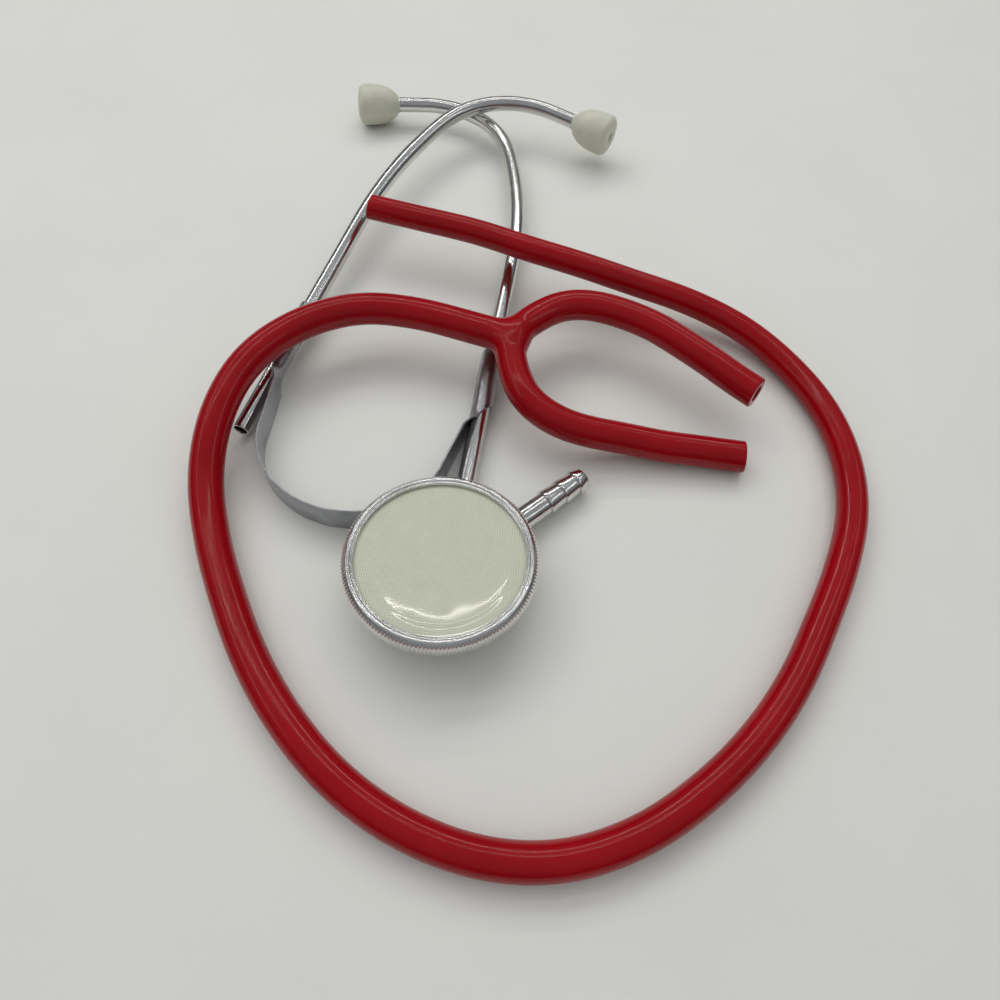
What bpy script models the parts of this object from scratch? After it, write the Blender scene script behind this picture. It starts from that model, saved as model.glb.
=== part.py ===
"""Single-head stethoscope, taken apart and laid on a table. Units: millimetres in the constants, metres in
the scene. +Z is up, the table is z = 0, and the origin is on the table under the middle of the hard parts."""

import math

import bmesh
import bpy
from mathutils import Euler, Matrix, Vector

MM = 0.001
GAP = 0.3  # clearance between touching pieces
TUBING_GAP = 0.7  # between the ends of two runs of tubing, which meet at a slight angle

# Ear tubes: both have the same plan shape, mirrored, and each is turned a little in its clip.
EAR_TUBE_OD = 4.9
EAR_TUBE_BORE = 3.7
EAR_TUBE_STRAIGHT = 84.7  # lower straight run
EAR_TUBE_SWEEP = 54.0  # long gentle curve after it
EAR_TUBE_SWEEP_ANGLE = 19.8
EAR_TUBE_BEND = 43.2  # length of the tight curve at the top
EAR_TUBE_BEND_ANGLE = 81.4
EAR_TUBE_END = 17.7  # straight run that carries the ear tip
EAR_TUBE_TOE_IN = 4.6  # angle of the straight run to the middle line
HEADSET_AT = (-20.3, -54.2)  # middle line's foot, on the table
HEADSET_TURN = -10.0  # degrees about Z
HEADSET_HALF_WIDTH = 32.3
TUBE_FOOT_HEIGHT = 3.4
TUBE_CROSSING_GAP = 0.7  # between the tubes where the left one passes over the right one
TUBE_CROSSING_REACH = 7.2  # the crossing's levelled distance past the end of the sweep
RIGHT_TUBE_RISE = 1.3  # degrees
LEFT_TUBE_RISE = RIGHT_TUBE_RISE + math.degrees(
    math.asin((EAR_TUBE_OD + TUBE_CROSSING_GAP) / (EAR_TUBE_STRAIGHT + EAR_TUBE_SWEEP + TUBE_CROSSING_REACH))
)

# Ear tips
EAR_TIP_LENGTH = 15.0
EAR_TIP_OD = 13.6
EAR_TIP_NECK_OD = 8.4
EAR_TIP_BORE = 3.0
EAR_TIP_SOCKET_DEPTH = 9.0

# Leaf spring
STRIP_WIDTH = 9.0
STRIP_THICKNESS = 1.0
STRIP_FOOT = 0.0  # height of the lower edge
BOW_INSET = 6.3  # the bow's sides stand this far inside the ear tubes' feet
BOW_HALF_WIDTH = HEADSET_HALF_WIDTH - BOW_INSET
BOW_DEPTH = 24.3
BOW_CENTRE = 8.0  # along the middle line
FLEX_HALF_WIDTH = BOW_HALF_WIDTH - 5.0  # where each leg starts to bend
CLIP_START = 23.5  # along the ear tube
CLIP_LENGTH = 22.0
CLIP_WALL = 0.8
CLIP_OPENING = 70.0  # degrees left open on the outer side

# Chestpiece, in its own frame: z = 0 is the top of the retaining ring and +Z points out of the diaphragm
CHESTPIECE_AT = (8.4, -84.1, 16.0)
CHESTPIECE_TILT = -3.4  # degrees about X: the far side lies lower
STEM_AZIMUTH = 42.9
DIAPHRAGM_OD = 43.2
DIAPHRAGM_THICKNESS = 0.4
THREAD_OD = DIAPHRAGM_OD + 0.4
RING_WALL = 1.4
RING_HEIGHT = 5.0
RING_LIP = 1.1  # how far the ring's lip reaches over the diaphragm
LIP_THICKNESS = 0.9
GASKET_HEIGHT = 0.8
GASKET_WIDTH = 1.6
BODY_BACK = 15.2  # depth of the back face under the ring's top
BODY_NECK_OD = 32.0
BODY_BACK_OD = 22.0
CHAMBER_DEPTH = 2.4
SOUND_BORE = 3.2
STEM_DEPTH = 10.2  # depth of the stem's axis under the ring's top
STEM_TIP = 47.6  # distance from the chestpiece's axis to the stem's end
STEM_ROOT = 6.0
STEM_OD = 6.3
BARB_OD = 7.0
BARB_END_OD = 6.0
BARB_STEPS = (13.6, 8.4, 3.4)  # distance of each barb's shoulder from the stem's end

# Y tubing: outer diameters, and each run's route over the table
TUBE_OD_CHEST_END = 7.6
TUBE_OD_YOKE_END = 9.2
ARM_OD = 8.8
MAIN_POINT_EVERY = 15.0
ARM_POINT_EVERY = 9.0
MAIN_ROUTE = [
    (-26.0, 35.5, 15.5), (-9.0, 32.0, 15.1), (8.0, 28.5, 14.6), (24.5, 23.0, 14.3),
    (41.5, 18.5, 13.3), (58.0, 14.5, 11.3), (75.0, 11.0, 8.6), (91.0, 4.0, 6.2),
    (103.5, -7.5, 4.7), (112.5, -22.5, 4.3), (116.5, -39.5, 4.3), (115.5, -57.0, 4.3),
    (110.0, -73.5, 4.3), (102.5, -89.0, 4.4), (94.0, -104.5, 4.4), (83.5, -118.5, 4.4),
    (71.0, -130.5, 4.5), (56.5, -140.5, 4.5), (40.0, -146.5, 4.5), (23.0, -147.0, 4.6),
    (6.0, -142.5, 4.6), (-9.5, -134.0, 4.6), (-22.5, -122.5, 4.7), (-33.5, -109.0, 4.7),
    (-42.5, -94.0, 4.8), (-50.0, -78.5, 5.6), (-55.0, -62.0, 8.1), (-55.0, -45.0, 12.1),
    (-50.0, -28.5, 14.3), (-39.0, -15.0, 14.6), (-23.5, -7.0, 14.4), (-6.5, -7.0, 14.3),
    (10.5, -11.0, 14.2),
]
FORK = (21.5, -14.0, 14.2)
ARM_FAR_ROUTE = [
    (31.0, -3.0, 14.2), (37.5, 0.5, 14.2), (44.5, 1.0, 14.2), (51.0, -0.5, 14.2),
    (57.5, -3.0, 14.2), (63.5, -6.0, 14.1), (69.0, -10.0, 13.9), (74.5, -14.0, 13.7),
    (79.5, -18.0, 13.5), (85.0, -22.5, 13.1), (90.5, -26.5, 12.8),
]
ARM_NEAR_ROUTE = [
    (23.7, -28.0, 13.4), (27.5, -34.5, 12.4), (33.0, -38.0, 11.0), (39.5, -40.0, 9.5),
    (46.5, -40.5, 8.2), (53.0, -40.5, 7.0), (60.0, -41.0, 6.1), (67.0, -41.5, 5.4),
    (74.0, -41.5, 4.9), (81.0, -42.0, 4.7), (88.0, -42.5, 4.7),
]


# ---------------------------------------------------------------- scene and materials
def clear_scene():
    for obj in list(bpy.data.objects):
        bpy.data.objects.remove(obj, do_unlink=True)


def new_collection(name):
    collection = bpy.data.collections.new(name)
    bpy.context.scene.collection.children.link(collection)
    return collection


def new_material(name, colour, metallic, roughness):
    material = bpy.data.materials.new(name)
    material.use_nodes = True
    shader = material.node_tree.nodes["Principled BSDF"]
    shader.inputs["Base Color"].default_value = (*colour, 1.0)
    shader.inputs["Metallic"].default_value = metallic
    shader.inputs["Roughness"].default_value = roughness
    return material


clear_scene()
PARTS = new_collection("stethoscope")
CUTTERS = new_collection("cutters")


def new_object(name, data, collection=None):
    obj = bpy.data.objects.new(name, data)
    (collection or PARTS).objects.link(obj)
    return obj


def new_empty(name, location, rotation=(0.0, 0.0, 0.0)):
    """A pivot at a place in millimetres."""
    empty = new_object(name, None)
    empty.location = Vector(location) * MM
    empty.rotation_euler = rotation
    bpy.context.view_layer.update()
    return empty


def hang(obj, pivot):
    """obj moves with pivot and stays where it is."""
    bpy.context.view_layer.update()
    obj.parent = pivot
    obj.matrix_parent_inverse = pivot.matrix_world.inverted()


def as_cutter(obj):
    PARTS.objects.unlink(obj)
    CUTTERS.objects.link(obj)
    obj.hide_render = True
    obj.display_type = "WIRE"
    return obj


def shade(obj, angle=35.0):
    obj.data.shade_smooth()
    obj.data.set_sharp_from_angle(angle=math.radians(angle))


def boolean(obj, tool, operation):
    """Adds an exact Boolean, whose tool object is a cutter or a half that is joined on."""
    modifier = obj.modifiers.new(operation.lower() + "_" + tool.name, "BOOLEAN")
    modifier.operation = operation
    modifier.solver = "EXACT"
    modifier.object = tool


# ---------------------------------------------------------------- shapes
def turned(name, profile, steps, closed=False):
    """A solid of revolution about Z. profile is (radius, z) in mm and runs down the outer side; a closed one
    is a loop that keeps clear of the axis."""
    mesh = bpy.data.meshes.new(name)
    points = [(radius * MM, 0.0, z * MM) for radius, z in profile]
    edges = [(i, i + 1) for i in range(len(points) - 1)]
    if closed:
        edges.append((len(points) - 1, 0))
    mesh.from_pydata(points, edges, [])
    obj = new_object(name, mesh)
    screw = obj.modifiers.new("turn", "SCREW")
    screw.axis = "Z"
    screw.angle = math.tau
    screw.steps = steps
    screw.render_steps = steps
    screw.use_merge_vertices = True
    screw.merge_threshold = 0.00001
    screw.use_smooth_shade = True
    return obj


def pipe(name, points, radii, sides=3):
    """A round bar through points (mm), as a welded mesh object. sides is the curve's bevel resolution."""
    curve = bpy.data.curves.new(name + "_path", "CURVE")
    curve.dimensions = "3D"
    curve.bevel_depth = MM
    curve.bevel_resolution = sides
    curve.use_fill_caps = True
    spline = curve.splines.new("POLY")
    spline.points.add(len(points) - 1)
    for control, point, radius in zip(spline.points, points, radii):
        control.co = (point[0] * MM, point[1] * MM, point[2] * MM, 1.0)
        control.radius = radius
    holder = new_object(name + "_path", curve)
    bpy.context.view_layer.update()
    evaluated = holder.evaluated_get(bpy.context.evaluated_depsgraph_get())
    mesh = bpy.data.meshes.new_from_object(evaluated)
    mesh.name = name
    shell = bmesh.new()
    shell.from_mesh(mesh)
    bmesh.ops.remove_doubles(shell, verts=shell.verts, dist=0.00001)
    bmesh.ops.recalc_face_normals(shell, faces=shell.faces)
    shell.to_mesh(mesh)
    shell.free()
    obj = new_object(name, mesh)
    obj.matrix_world = holder.matrix_world
    bpy.data.objects.remove(holder)
    shade(obj, 50.0)
    return obj


def ribbon(name, rows, thickness):
    """A sheet through rows of points (mm), thickened evenly on both sides."""
    mesh = bpy.data.meshes.new(name)
    columns = len(rows[0])
    points = [tuple(component * MM for component in point) for row in rows for point in row]
    faces = []
    for i in range(len(rows) - 1):
        for j in range(columns - 1):
            a = i * columns + j
            faces.append((a, a + 1, a + columns + 1, a + columns))
    mesh.from_pydata(points, [], faces)
    obj = new_object(name, mesh)
    solidify = obj.modifiers.new("sheet", "SOLIDIFY")
    solidify.thickness = thickness * MM
    solidify.offset = 0.0
    return obj


def smooth_route(route, spacing):
    """Points every so many mm on a smooth curve (Catmull-Rom) through a route's points."""
    points = [Vector(p) for p in route]
    padded = [2 * points[0] - points[1], *points, 2 * points[-1] - points[-2]]
    fine = []
    for p0, p1, p2, p3 in zip(padded, padded[1:], padded[2:], padded[3:]):
        for k in range(12):
            t = k / 12
            fine.append(
                0.5 * (2 * p1 + (p2 - p0) * t + (2 * p0 - 5 * p1 + 4 * p2 - p3) * t**2
                       + (3 * p1 - p0 - 3 * p2 + p3) * t**3)
            )
    fine.append(points[-1])
    lengths = [0.0]
    for a, b in zip(fine, fine[1:]):
        lengths.append(lengths[-1] + (b - a).length)
    count = max(2, round(lengths[-1] / spacing))
    result = []
    place = 0
    for k in range(count + 1):
        target = lengths[-1] * k / count
        while place < len(lengths) - 2 and lengths[place + 1] < target:
            place += 1
        span = lengths[place + 1] - lengths[place]
        result.append(fine[place].lerp(fine[place + 1], (target - lengths[place]) / span))
    return result


# ---------------------------------------------------------------- headset
def headset_point(across, along, height):
    """A point in the headset's own plan (across and along its middle line) as a world point in mm."""
    turn = math.radians(HEADSET_TURN)
    x = HEADSET_AT[0] + across * math.cos(turn) - along * math.sin(turn)
    y = HEADSET_AT[1] + across * math.sin(turn) + along * math.cos(turn)
    return Vector((x, y, height))


def ear_tube_path(side, foot_along, rise, fall):
    """Points every few mm along an ear tube's axis, from its open foot. side is -1 on the left; rise and fall
    are the slopes in degrees of the straight run and of the end that carries the ear tip."""
    steps = []
    for length, turn, slope_from, slope_to, pieces in (
        (EAR_TUBE_STRAIGHT, 0.0, rise, rise, 6),
        (EAR_TUBE_SWEEP, EAR_TUBE_SWEEP_ANGLE, rise, rise, 6),
        (EAR_TUBE_BEND, EAR_TUBE_BEND_ANGLE, rise, fall, 18),
        (EAR_TUBE_END, 0.0, fall, fall, 3),
    ):
        for k in range(pieces):
            share = (k + 0.5) / pieces
            steps.append((length / pieces, turn / pieces, slope_from + (slope_to - slope_from) * share))
    point = Vector((side * HEADSET_HALF_WIDTH, foot_along, TUBE_FOOT_HEIGHT))
    heading = EAR_TUBE_TOE_IN
    points = [point.copy()]
    for length, turn, slope in steps:
        heading += turn / 2
        yaw = math.radians(heading)
        pitch = math.radians(slope)
        point = point + length * Vector((
            -side * math.sin(yaw) * math.cos(pitch),
            math.cos(yaw) * math.cos(pitch),
            math.sin(pitch),
        ))
        heading += turn / 2
        points.append(point.copy())
    return [headset_point(*p) for p in points]


LEFT_TUBE_PATH = ear_tube_path(-1, 4.2, LEFT_TUBE_RISE, -3.1)
RIGHT_TUBE_PATH = ear_tube_path(1, 2.5, RIGHT_TUBE_RISE, 0.2)


def along_path(points, distance):
    """The point at a distance along a path, and the direction there."""
    for a, b in zip(points, points[1:]):
        span = (b - a).length
        if distance <= span:
            return a.lerp(b, distance / span), (b - a).normalized()
        distance -= span
    return points[-1], (points[-1] - points[-2]).normalized()


def make_ear_tube(name, path, material):
    """A hollow tube, bored from end to end."""
    outer = [EAR_TUBE_OD / 2] * len(path)
    tube = pipe(name, path, outer, sides=4)
    first = (path[0] - path[1]).normalized()
    last = (path[-1] - path[-2]).normalized()
    bore_path = [path[0] + first, *path[1:-1], path[-1] + last]
    bore = as_cutter(pipe(name + "_bore", bore_path, [EAR_TUBE_BORE / 2] * len(path), sides=2))
    boolean(tube, bore, "DIFFERENCE")
    tube.data.materials.append(material)
    return tube


def make_ear_tip(name, path, material):
    """A bulb with a flat outer face, on the tube's end. Its own Z points away from the tube."""
    end = path[-1]
    direction = (path[-1] - path[-2]).normalized()
    outer = EAR_TIP_OD / 2
    neck = EAR_TIP_NECK_OD / 2
    bore = EAR_TIP_BORE / 2
    socket = EAR_TUBE_OD / 2 + GAP
    top = EAR_TIP_LENGTH - EAR_TIP_SOCKET_DEPTH
    bottom = -EAR_TIP_SOCKET_DEPTH
    profile = [(bore, top - 0.8), (bore + 0.9, top), (outer - 2.6, top)]
    for k in range(1, 6):
        angle = math.radians(18 * k)
        profile.append((outer - 2.6 + 2.6 * math.sin(angle), top - 2.6 + 2.6 * math.cos(angle)))
    body_length = top - 2.6 - bottom
    for k in range(1, 8):
        share = k / 7
        radius = neck + (outer - neck) * math.cos(share * math.pi / 2) ** 0.8
        profile.append((radius, top - 2.6 - body_length * share))
    profile.append((socket, bottom))
    profile.append((socket, GAP))
    profile.append((bore, GAP))
    tip = turned(name, profile, steps=28, closed=True)
    tip.location = end * MM
    tip.rotation_euler = direction.to_track_quat("Z", "Y").to_euler()
    tip.data.materials.append(material)
    return tip


# ---------------------------------------------------------------- leaf spring
def bow_angle(half_width):
    """Angle on the bow's ellipse, from its bottom, where it is that far from the middle line."""
    return math.asin(half_width / BOW_HALF_WIDTH)


def bow_point(angle):
    """(across, along) on the bow at an angle from its bottom."""
    return BOW_HALF_WIDTH * math.sin(angle), BOW_CENTRE - BOW_DEPTH * math.cos(angle)


def strip_rows(plan):
    """Rows of two points, lower and upper edge, for a strip that stands on the table."""
    rows = []
    for across, along in plan:
        rows.append((
            tuple(headset_point(across, along, STRIP_FOOT)),
            tuple(headset_point(across, along, STRIP_FOOT + STRIP_WIDTH)),
        ))
    return rows


def make_bow(material):
    limit = bow_angle(FLEX_HALF_WIDTH) - (GAP / 2) / BOW_HALF_WIDTH
    plan = [bow_point(limit * (2 * k / 16 - 1)) for k in range(17)]
    bow = ribbon("spring_bow", strip_rows(plan), STRIP_THICKNESS)
    bow.data.materials.append(material)
    return bow


def make_leg(name, side, path, material):
    """One end of the strip: from the flex line up to the clip that is rolled round the ear tube."""
    start = bow_angle(FLEX_HALF_WIDTH) + (GAP / 2) / BOW_HALF_WIDTH
    plan = []
    for k in range(8):
        across, along = bow_point(start + (math.radians(92) - start) * k / 7)
        plan.append((side * across, along))
    turn = math.radians(HEADSET_TURN)
    clip_inner = EAR_TUBE_OD / 2 + GAP
    clip_middle = clip_inner + CLIP_WALL / 2
    for distance in (CLIP_START, CLIP_START + CLIP_LENGTH):
        point, _ = along_path(path, distance)
        offset = point - headset_point(0, 0, 0)
        across = offset.x * math.cos(turn) + offset.y * math.sin(turn)
        along = -offset.x * math.sin(turn) + offset.y * math.cos(turn)
        plan.append((across - side * clip_middle, along))
    leg = ribbon(name, strip_rows(plan), STRIP_THICKNESS)

    rows = []
    open_half = CLIP_OPENING / 2
    for k in range(2):
        point, direction = along_path(path, CLIP_START + CLIP_LENGTH * k)
        sideways = direction.cross(Vector((0, 0, 1))).normalized() * side
        upward = sideways.cross(direction).normalized()
        if upward.z < 0:
            upward = -upward
        row = []
        for j in range(17):
            angle = math.radians(open_half + (360 - 2 * open_half) * j / 16)
            row.append(tuple(point + clip_middle * (math.cos(angle) * sideways + math.sin(angle) * upward)))
        rows.append(row)
    clip = as_cutter(ribbon(name + "_clip", rows, CLIP_WALL))
    boolean(leg, clip, "UNION")
    leg.data.materials.append(material)
    return leg


# ---------------------------------------------------------------- chestpiece
def make_ring(material):
    thread = THREAD_OD / 2 + GAP
    outer = thread + RING_WALL
    lip = DIAPHRAGM_OD / 2 - RING_LIP
    seat = -LIP_THICKNESS
    profile = [
        (lip, -0.35), (lip + 0.35, 0.0), (lip + 1.1, 0.0), (outer - 0.5, -1.1), (outer, -1.5),
        (outer, -RING_HEIGHT + 0.2), (outer - 0.2, -RING_HEIGHT), (thread, -RING_HEIGHT),
        (thread, seat), (lip, seat),
    ]
    ring = turned("retaining_ring", profile, steps=64, closed=True)
    ring.data.materials.append(material)
    return ring


def make_diaphragm(material):
    top = -LIP_THICKNESS - GAP
    outer = DIAPHRAGM_OD / 2
    profile = [(0.0, top), (outer, top), (outer, top - DIAPHRAGM_THICKNESS), (0.0, top - DIAPHRAGM_THICKNESS)]
    diaphragm = turned("diaphragm", profile, steps=56)
    diaphragm.data.materials.append(material)
    return diaphragm


def gasket_top():
    return -LIP_THICKNESS - DIAPHRAGM_THICKNESS - 2 * GAP


def make_gasket(material):
    top = gasket_top()
    outer = THREAD_OD / 2 - 0.4
    inner = outer - GASKET_WIDTH
    profile = [(inner, top), (outer, top), (outer, top - GASKET_HEIGHT), (inner, top - GASKET_HEIGHT)]
    gasket = turned("gasket", profile, steps=48, closed=True)
    gasket.data.materials.append(material)
    return gasket


def make_body(material):
    """The cast body: a threaded rim, a shallow chamber, a neck, and bores for sound and for the stem."""
    rim_top = gasket_top() - GASKET_HEIGHT - GAP
    rim = THREAD_OD / 2
    neck = BODY_NECK_OD / 2
    back = BODY_BACK_OD / 2
    floor = rim_top - CHAMBER_DEPTH
    profile = [
        (0.0, floor), (rim - 2.6, rim_top - 0.4), (rim - 2.2, rim_top), (rim, rim_top),
        (rim, -RING_HEIGHT - GAP), (neck + 1.0, -RING_HEIGHT - 1.0), (neck, -RING_HEIGHT - 1.8),
        (neck - 0.8, -RING_HEIGHT - 3.6), (back + 0.8, -BODY_BACK + 0.8), (back, -BODY_BACK),
        (0.0, -BODY_BACK),
    ]
    body = turned("chestpiece_body", profile, steps=56)
    sound = turned("sound_bore", [
        (0.0, floor + 3.0), (SOUND_BORE / 2, floor + 3.0),
        (SOUND_BORE / 2, -STEM_DEPTH), (0.0, -STEM_DEPTH),
    ], steps=16)
    socket = turned("stem_socket", [
        (0.0, 30.0), (STEM_OD / 2 + GAP, 30.0), (STEM_OD / 2 + GAP, STEM_ROOT - GAP),
        (SOUND_BORE / 2, STEM_ROOT - GAP), (SOUND_BORE / 2, 0.0), (0.0, 0.0),
    ], steps=20)
    socket.rotation_euler = (0.0, math.radians(90), 0.0)
    socket.location = (0.0, 0.0, -STEM_DEPTH * MM)
    boolean(body, as_cutter(sound), "DIFFERENCE")
    boolean(body, as_cutter(socket), "DIFFERENCE")
    body.data.materials.append(material)
    return body, [sound, socket]


def make_stem(material):
    """A bored stem along +X with barbs whose shoulders face the chestpiece."""
    bore = SOUND_BORE / 2
    barb = BARB_OD / 2
    profile = [(bore, STEM_TIP), (BARB_END_OD / 2 - 0.5, STEM_TIP), (BARB_END_OD / 2, STEM_TIP - 0.5)]
    for step in reversed(BARB_STEPS):
        shoulder = STEM_TIP - step
        profile.append((barb, shoulder + 0.4))
        profile.append((barb - 0.15, shoulder))
        profile.append((STEM_OD / 2 - 0.1, shoulder - 0.3))
    profile.append((STEM_OD / 2 - 0.1, STEM_TIP - BARB_STEPS[0] - 2.4))
    profile.append((STEM_OD / 2, STEM_TIP - BARB_STEPS[0] - 2.8))
    profile.append((STEM_OD / 2, STEM_ROOT))
    profile.append((bore, STEM_ROOT))
    stem = turned("stem", profile, steps=24, closed=True)
    stem.rotation_euler = (0.0, math.radians(90), 0.0)
    stem.location = (0.0, 0.0, -STEM_DEPTH * MM)
    stem.data.materials.append(material)
    return stem


def make_chestpiece(metal, resin, rubber, cast):
    """Every piece is made about the chestpiece's own axis and then placed by its parent."""
    tilt = Euler((math.radians(CHESTPIECE_TILT), 0.0, 0.0)).to_matrix().to_4x4()
    spin = Matrix.Rotation(math.radians(STEM_AZIMUTH), 4, "Z")
    frame = new_empty("chestpiece_frame", CHESTPIECE_AT, (tilt @ spin).to_euler())
    body, tools = make_body(cast)
    pieces = [body, make_stem(metal), make_gasket(rubber), make_diaphragm(resin), make_ring(metal), *tools]
    for piece in pieces:
        piece.parent = frame
    return frame


# ---------------------------------------------------------------- Y tubing
def tapered(start, end, count):
    return [(start + (end - start) * k / (count - 1)) / 2 for k in range(count)]


def shortened(points, at_start, at_end):
    """The same path, cut back by those lengths at its two ends."""
    first = (points[1] - points[0]).normalized()
    last = (points[-1] - points[-2]).normalized()
    return [points[0] + first * at_start, *points[1:-1], points[-1] - last * at_end]


def make_tubing(material):
    main = smooth_route(MAIN_ROUTE, MAIN_POINT_EVERY)
    far_arm = smooth_route(ARM_FAR_ROUTE, ARM_POINT_EVERY)
    near_arm = smooth_route(ARM_NEAR_ROUTE, ARM_POINT_EVERY)
    pieces = []
    for name, path, start, end, cut in (
        ("tubing_main", main, TUBE_OD_CHEST_END, TUBE_OD_YOKE_END, (0.0, TUBING_GAP)),
        ("tubing_arm_far", far_arm, ARM_OD, ARM_OD, (TUBING_GAP, 0.0)),
        ("tubing_arm_near", near_arm, ARM_OD, ARM_OD, (TUBING_GAP, 0.0)),
    ):
        path = shortened(path, *cut)
        tube = pipe(name, path, tapered(start, end, len(path)), sides=3)
        tube.data.materials.append(material)
        pieces.append(tube)
    pieces.append(make_yoke(main, far_arm, near_arm, material))
    return pieces


def make_yoke(main, far_arm, near_arm, material):
    """Three short bars that meet at the fork, joined into one solid."""
    fork = Vector(FORK)
    branches = []
    for name, end, inward, radius in (
        ("yoke", main[-1], (main[-1] - main[-2]).normalized(), TUBE_OD_YOKE_END / 2),
        ("yoke_far", far_arm[0], (far_arm[0] - far_arm[1]).normalized(), ARM_OD / 2),
        ("yoke_near", near_arm[0], (near_arm[0] - near_arm[1]).normalized(), ARM_OD / 2),
    ):
        reach = (fork - end).length
        route = [end, end + inward * reach * 0.35, fork.lerp(end, 0.25), fork + inward * 1.5]
        path = smooth_route(route, 2.5)
        branches.append(pipe(name, path, [radius] * len(path), sides=3))
    yoke = branches[0]
    for branch in branches[1:]:
        boolean(yoke, as_cutter(branch), "UNION")
    yoke.data.materials.append(material)
    return yoke


# ---------------------------------------------------------------- assembly
def flex_pivot(side):
    across, along = bow_point(bow_angle(FLEX_HALF_WIDTH))
    return headset_point(side * across, along, STRIP_FOOT + STRIP_WIDTH / 2)


def build():
    chrome = new_material("chrome", (0.78, 0.78, 0.77), 1.0, 0.12)
    steel = new_material("spring_steel", (0.46, 0.47, 0.48), 1.0, 0.35)
    plastic = new_material("ear_tip_plastic", (0.62, 0.61, 0.52), 0.0, 0.45)
    red = new_material("red_vinyl", (0.45, 0.005, 0.012), 0.0, 0.18)
    resin = new_material("glass_resin", (0.62, 0.64, 0.54), 0.0, 0.25)
    rubber = new_material("gasket_rubber", (0.05, 0.05, 0.05), 0.0, 0.6)
    cast = new_material("cast_alloy", (0.70, 0.70, 0.69), 1.0, 0.3)

    make_bow(steel)
    for side, name, path in ((-1, "left", LEFT_TUBE_PATH), (1, "right", RIGHT_TUBE_PATH)):
        pivot = new_empty(name + "_flex", flex_pivot(side))
        hang(make_leg("spring_leg_" + name, side, path, steel), pivot)
        hang(make_ear_tube("ear_tube_" + name, path, chrome), pivot)
        hang(make_ear_tip("ear_tip_" + name, path, plastic), pivot)
    make_chestpiece(chrome, resin, rubber, cast)
    make_tubing(red)


build()
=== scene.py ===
"""Looks of a single-head stethoscope taken apart on a pale table. Lengths are in millimetres until a mesh is
made, and in metres for the lights. z = 0 is the table, and +Y runs from the chestpiece to the ear tips."""

import math

import bmesh
import bpy
import numpy as np
from mathutils import Euler, Matrix, Vector


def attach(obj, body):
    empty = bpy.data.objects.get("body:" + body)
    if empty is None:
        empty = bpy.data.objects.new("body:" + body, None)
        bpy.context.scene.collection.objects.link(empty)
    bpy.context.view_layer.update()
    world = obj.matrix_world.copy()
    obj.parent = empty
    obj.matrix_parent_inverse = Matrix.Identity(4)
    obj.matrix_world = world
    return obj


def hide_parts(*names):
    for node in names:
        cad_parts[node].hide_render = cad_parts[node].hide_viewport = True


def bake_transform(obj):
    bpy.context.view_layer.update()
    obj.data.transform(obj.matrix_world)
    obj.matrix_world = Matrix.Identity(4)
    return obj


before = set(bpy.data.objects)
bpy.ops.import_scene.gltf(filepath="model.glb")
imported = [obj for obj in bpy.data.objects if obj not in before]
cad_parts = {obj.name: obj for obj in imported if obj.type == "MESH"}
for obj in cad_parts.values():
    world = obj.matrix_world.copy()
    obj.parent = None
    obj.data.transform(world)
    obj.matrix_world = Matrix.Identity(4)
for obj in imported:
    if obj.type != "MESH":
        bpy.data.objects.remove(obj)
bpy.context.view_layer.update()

MM = 0.001
TABLE_GAP = 0.15  # the spring strip's lower edge stays this far above the table


# ---------------------------------------------------------------- camera
CAMERA_AT = (21.5, -160.5, 176.0)
CAMERA_DOWN = 60.0  # degrees under the horizon, looking along +Y
CAMERA_ROLL = 4.0
CAMERA_LENS = 27.04


def make_camera():
    data = bpy.data.cameras.new("camera")
    data.lens = CAMERA_LENS
    data.sensor_width = 36.0
    data.clip_start = 0.01
    camera = bpy.data.objects.new("camera", data)
    bpy.context.scene.collection.objects.link(camera)
    turn = Matrix.Rotation(math.radians(90.0 - CAMERA_DOWN), 4, "X")
    roll = Matrix.Rotation(math.radians(CAMERA_ROLL), 4, "Z")
    camera.matrix_world = Matrix.Translation(Vector(CAMERA_AT) * MM) @ turn @ roll
    bpy.context.scene.camera = camera


make_camera()


# ---------------------------------------------------------------- paths
def smooth_route(route, spacing, relax=0):
    """Points every so many mm on a smooth curve through a route's points, as an array."""
    points = [Vector(p) for p in route]
    padded = [2 * points[0] - points[1], *points, 2 * points[-1] - points[-2]]
    fine = []
    for p0, p1, p2, p3 in zip(padded, padded[1:], padded[2:], padded[3:]):
        for k in range(24):
            t = k / 24
            fine.append(
                0.5 * (2 * p1 + (p2 - p0) * t + (2 * p0 - 5 * p1 + 4 * p2 - p3) * t**2
                       + (3 * p1 - p0 - 3 * p2 + p3) * t**3)
            )
    fine.append(points[-1])
    path = resampled(np.array([tuple(p) for p in fine]), spacing)
    for _ in range(relax):
        path[1:-1] = (path[:-2] + 2 * path[1:-1] + path[2:]) / 4
    return path


def lengths_along(path):
    steps = np.linalg.norm(np.diff(path, axis=0), axis=1)
    return np.concatenate([[0.0], np.cumsum(steps)])


def resampled(path, spacing):
    along = lengths_along(path)
    count = max(2, round(along[-1] / spacing))
    places = np.linspace(0.0, along[-1], count + 1)
    return np.stack([np.interp(places, along, path[:, k]) for k in range(3)], axis=1)


def sweep_frames(path):
    """Tangent, side and up of each point, carried along without twisting."""
    tangents = np.gradient(path, axis=0)
    tangents /= np.linalg.norm(tangents, axis=1)[:, None]
    up = np.array((0.0, 0.0, 1.0))
    sides, ups = [], []
    for tangent in tangents:
        up = up - tangent * (up @ tangent)
        up /= np.linalg.norm(up)
        ups.append(up)
        sides.append(np.cross(tangent, up))
    return tangents, np.array(sides), np.array(ups)


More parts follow.
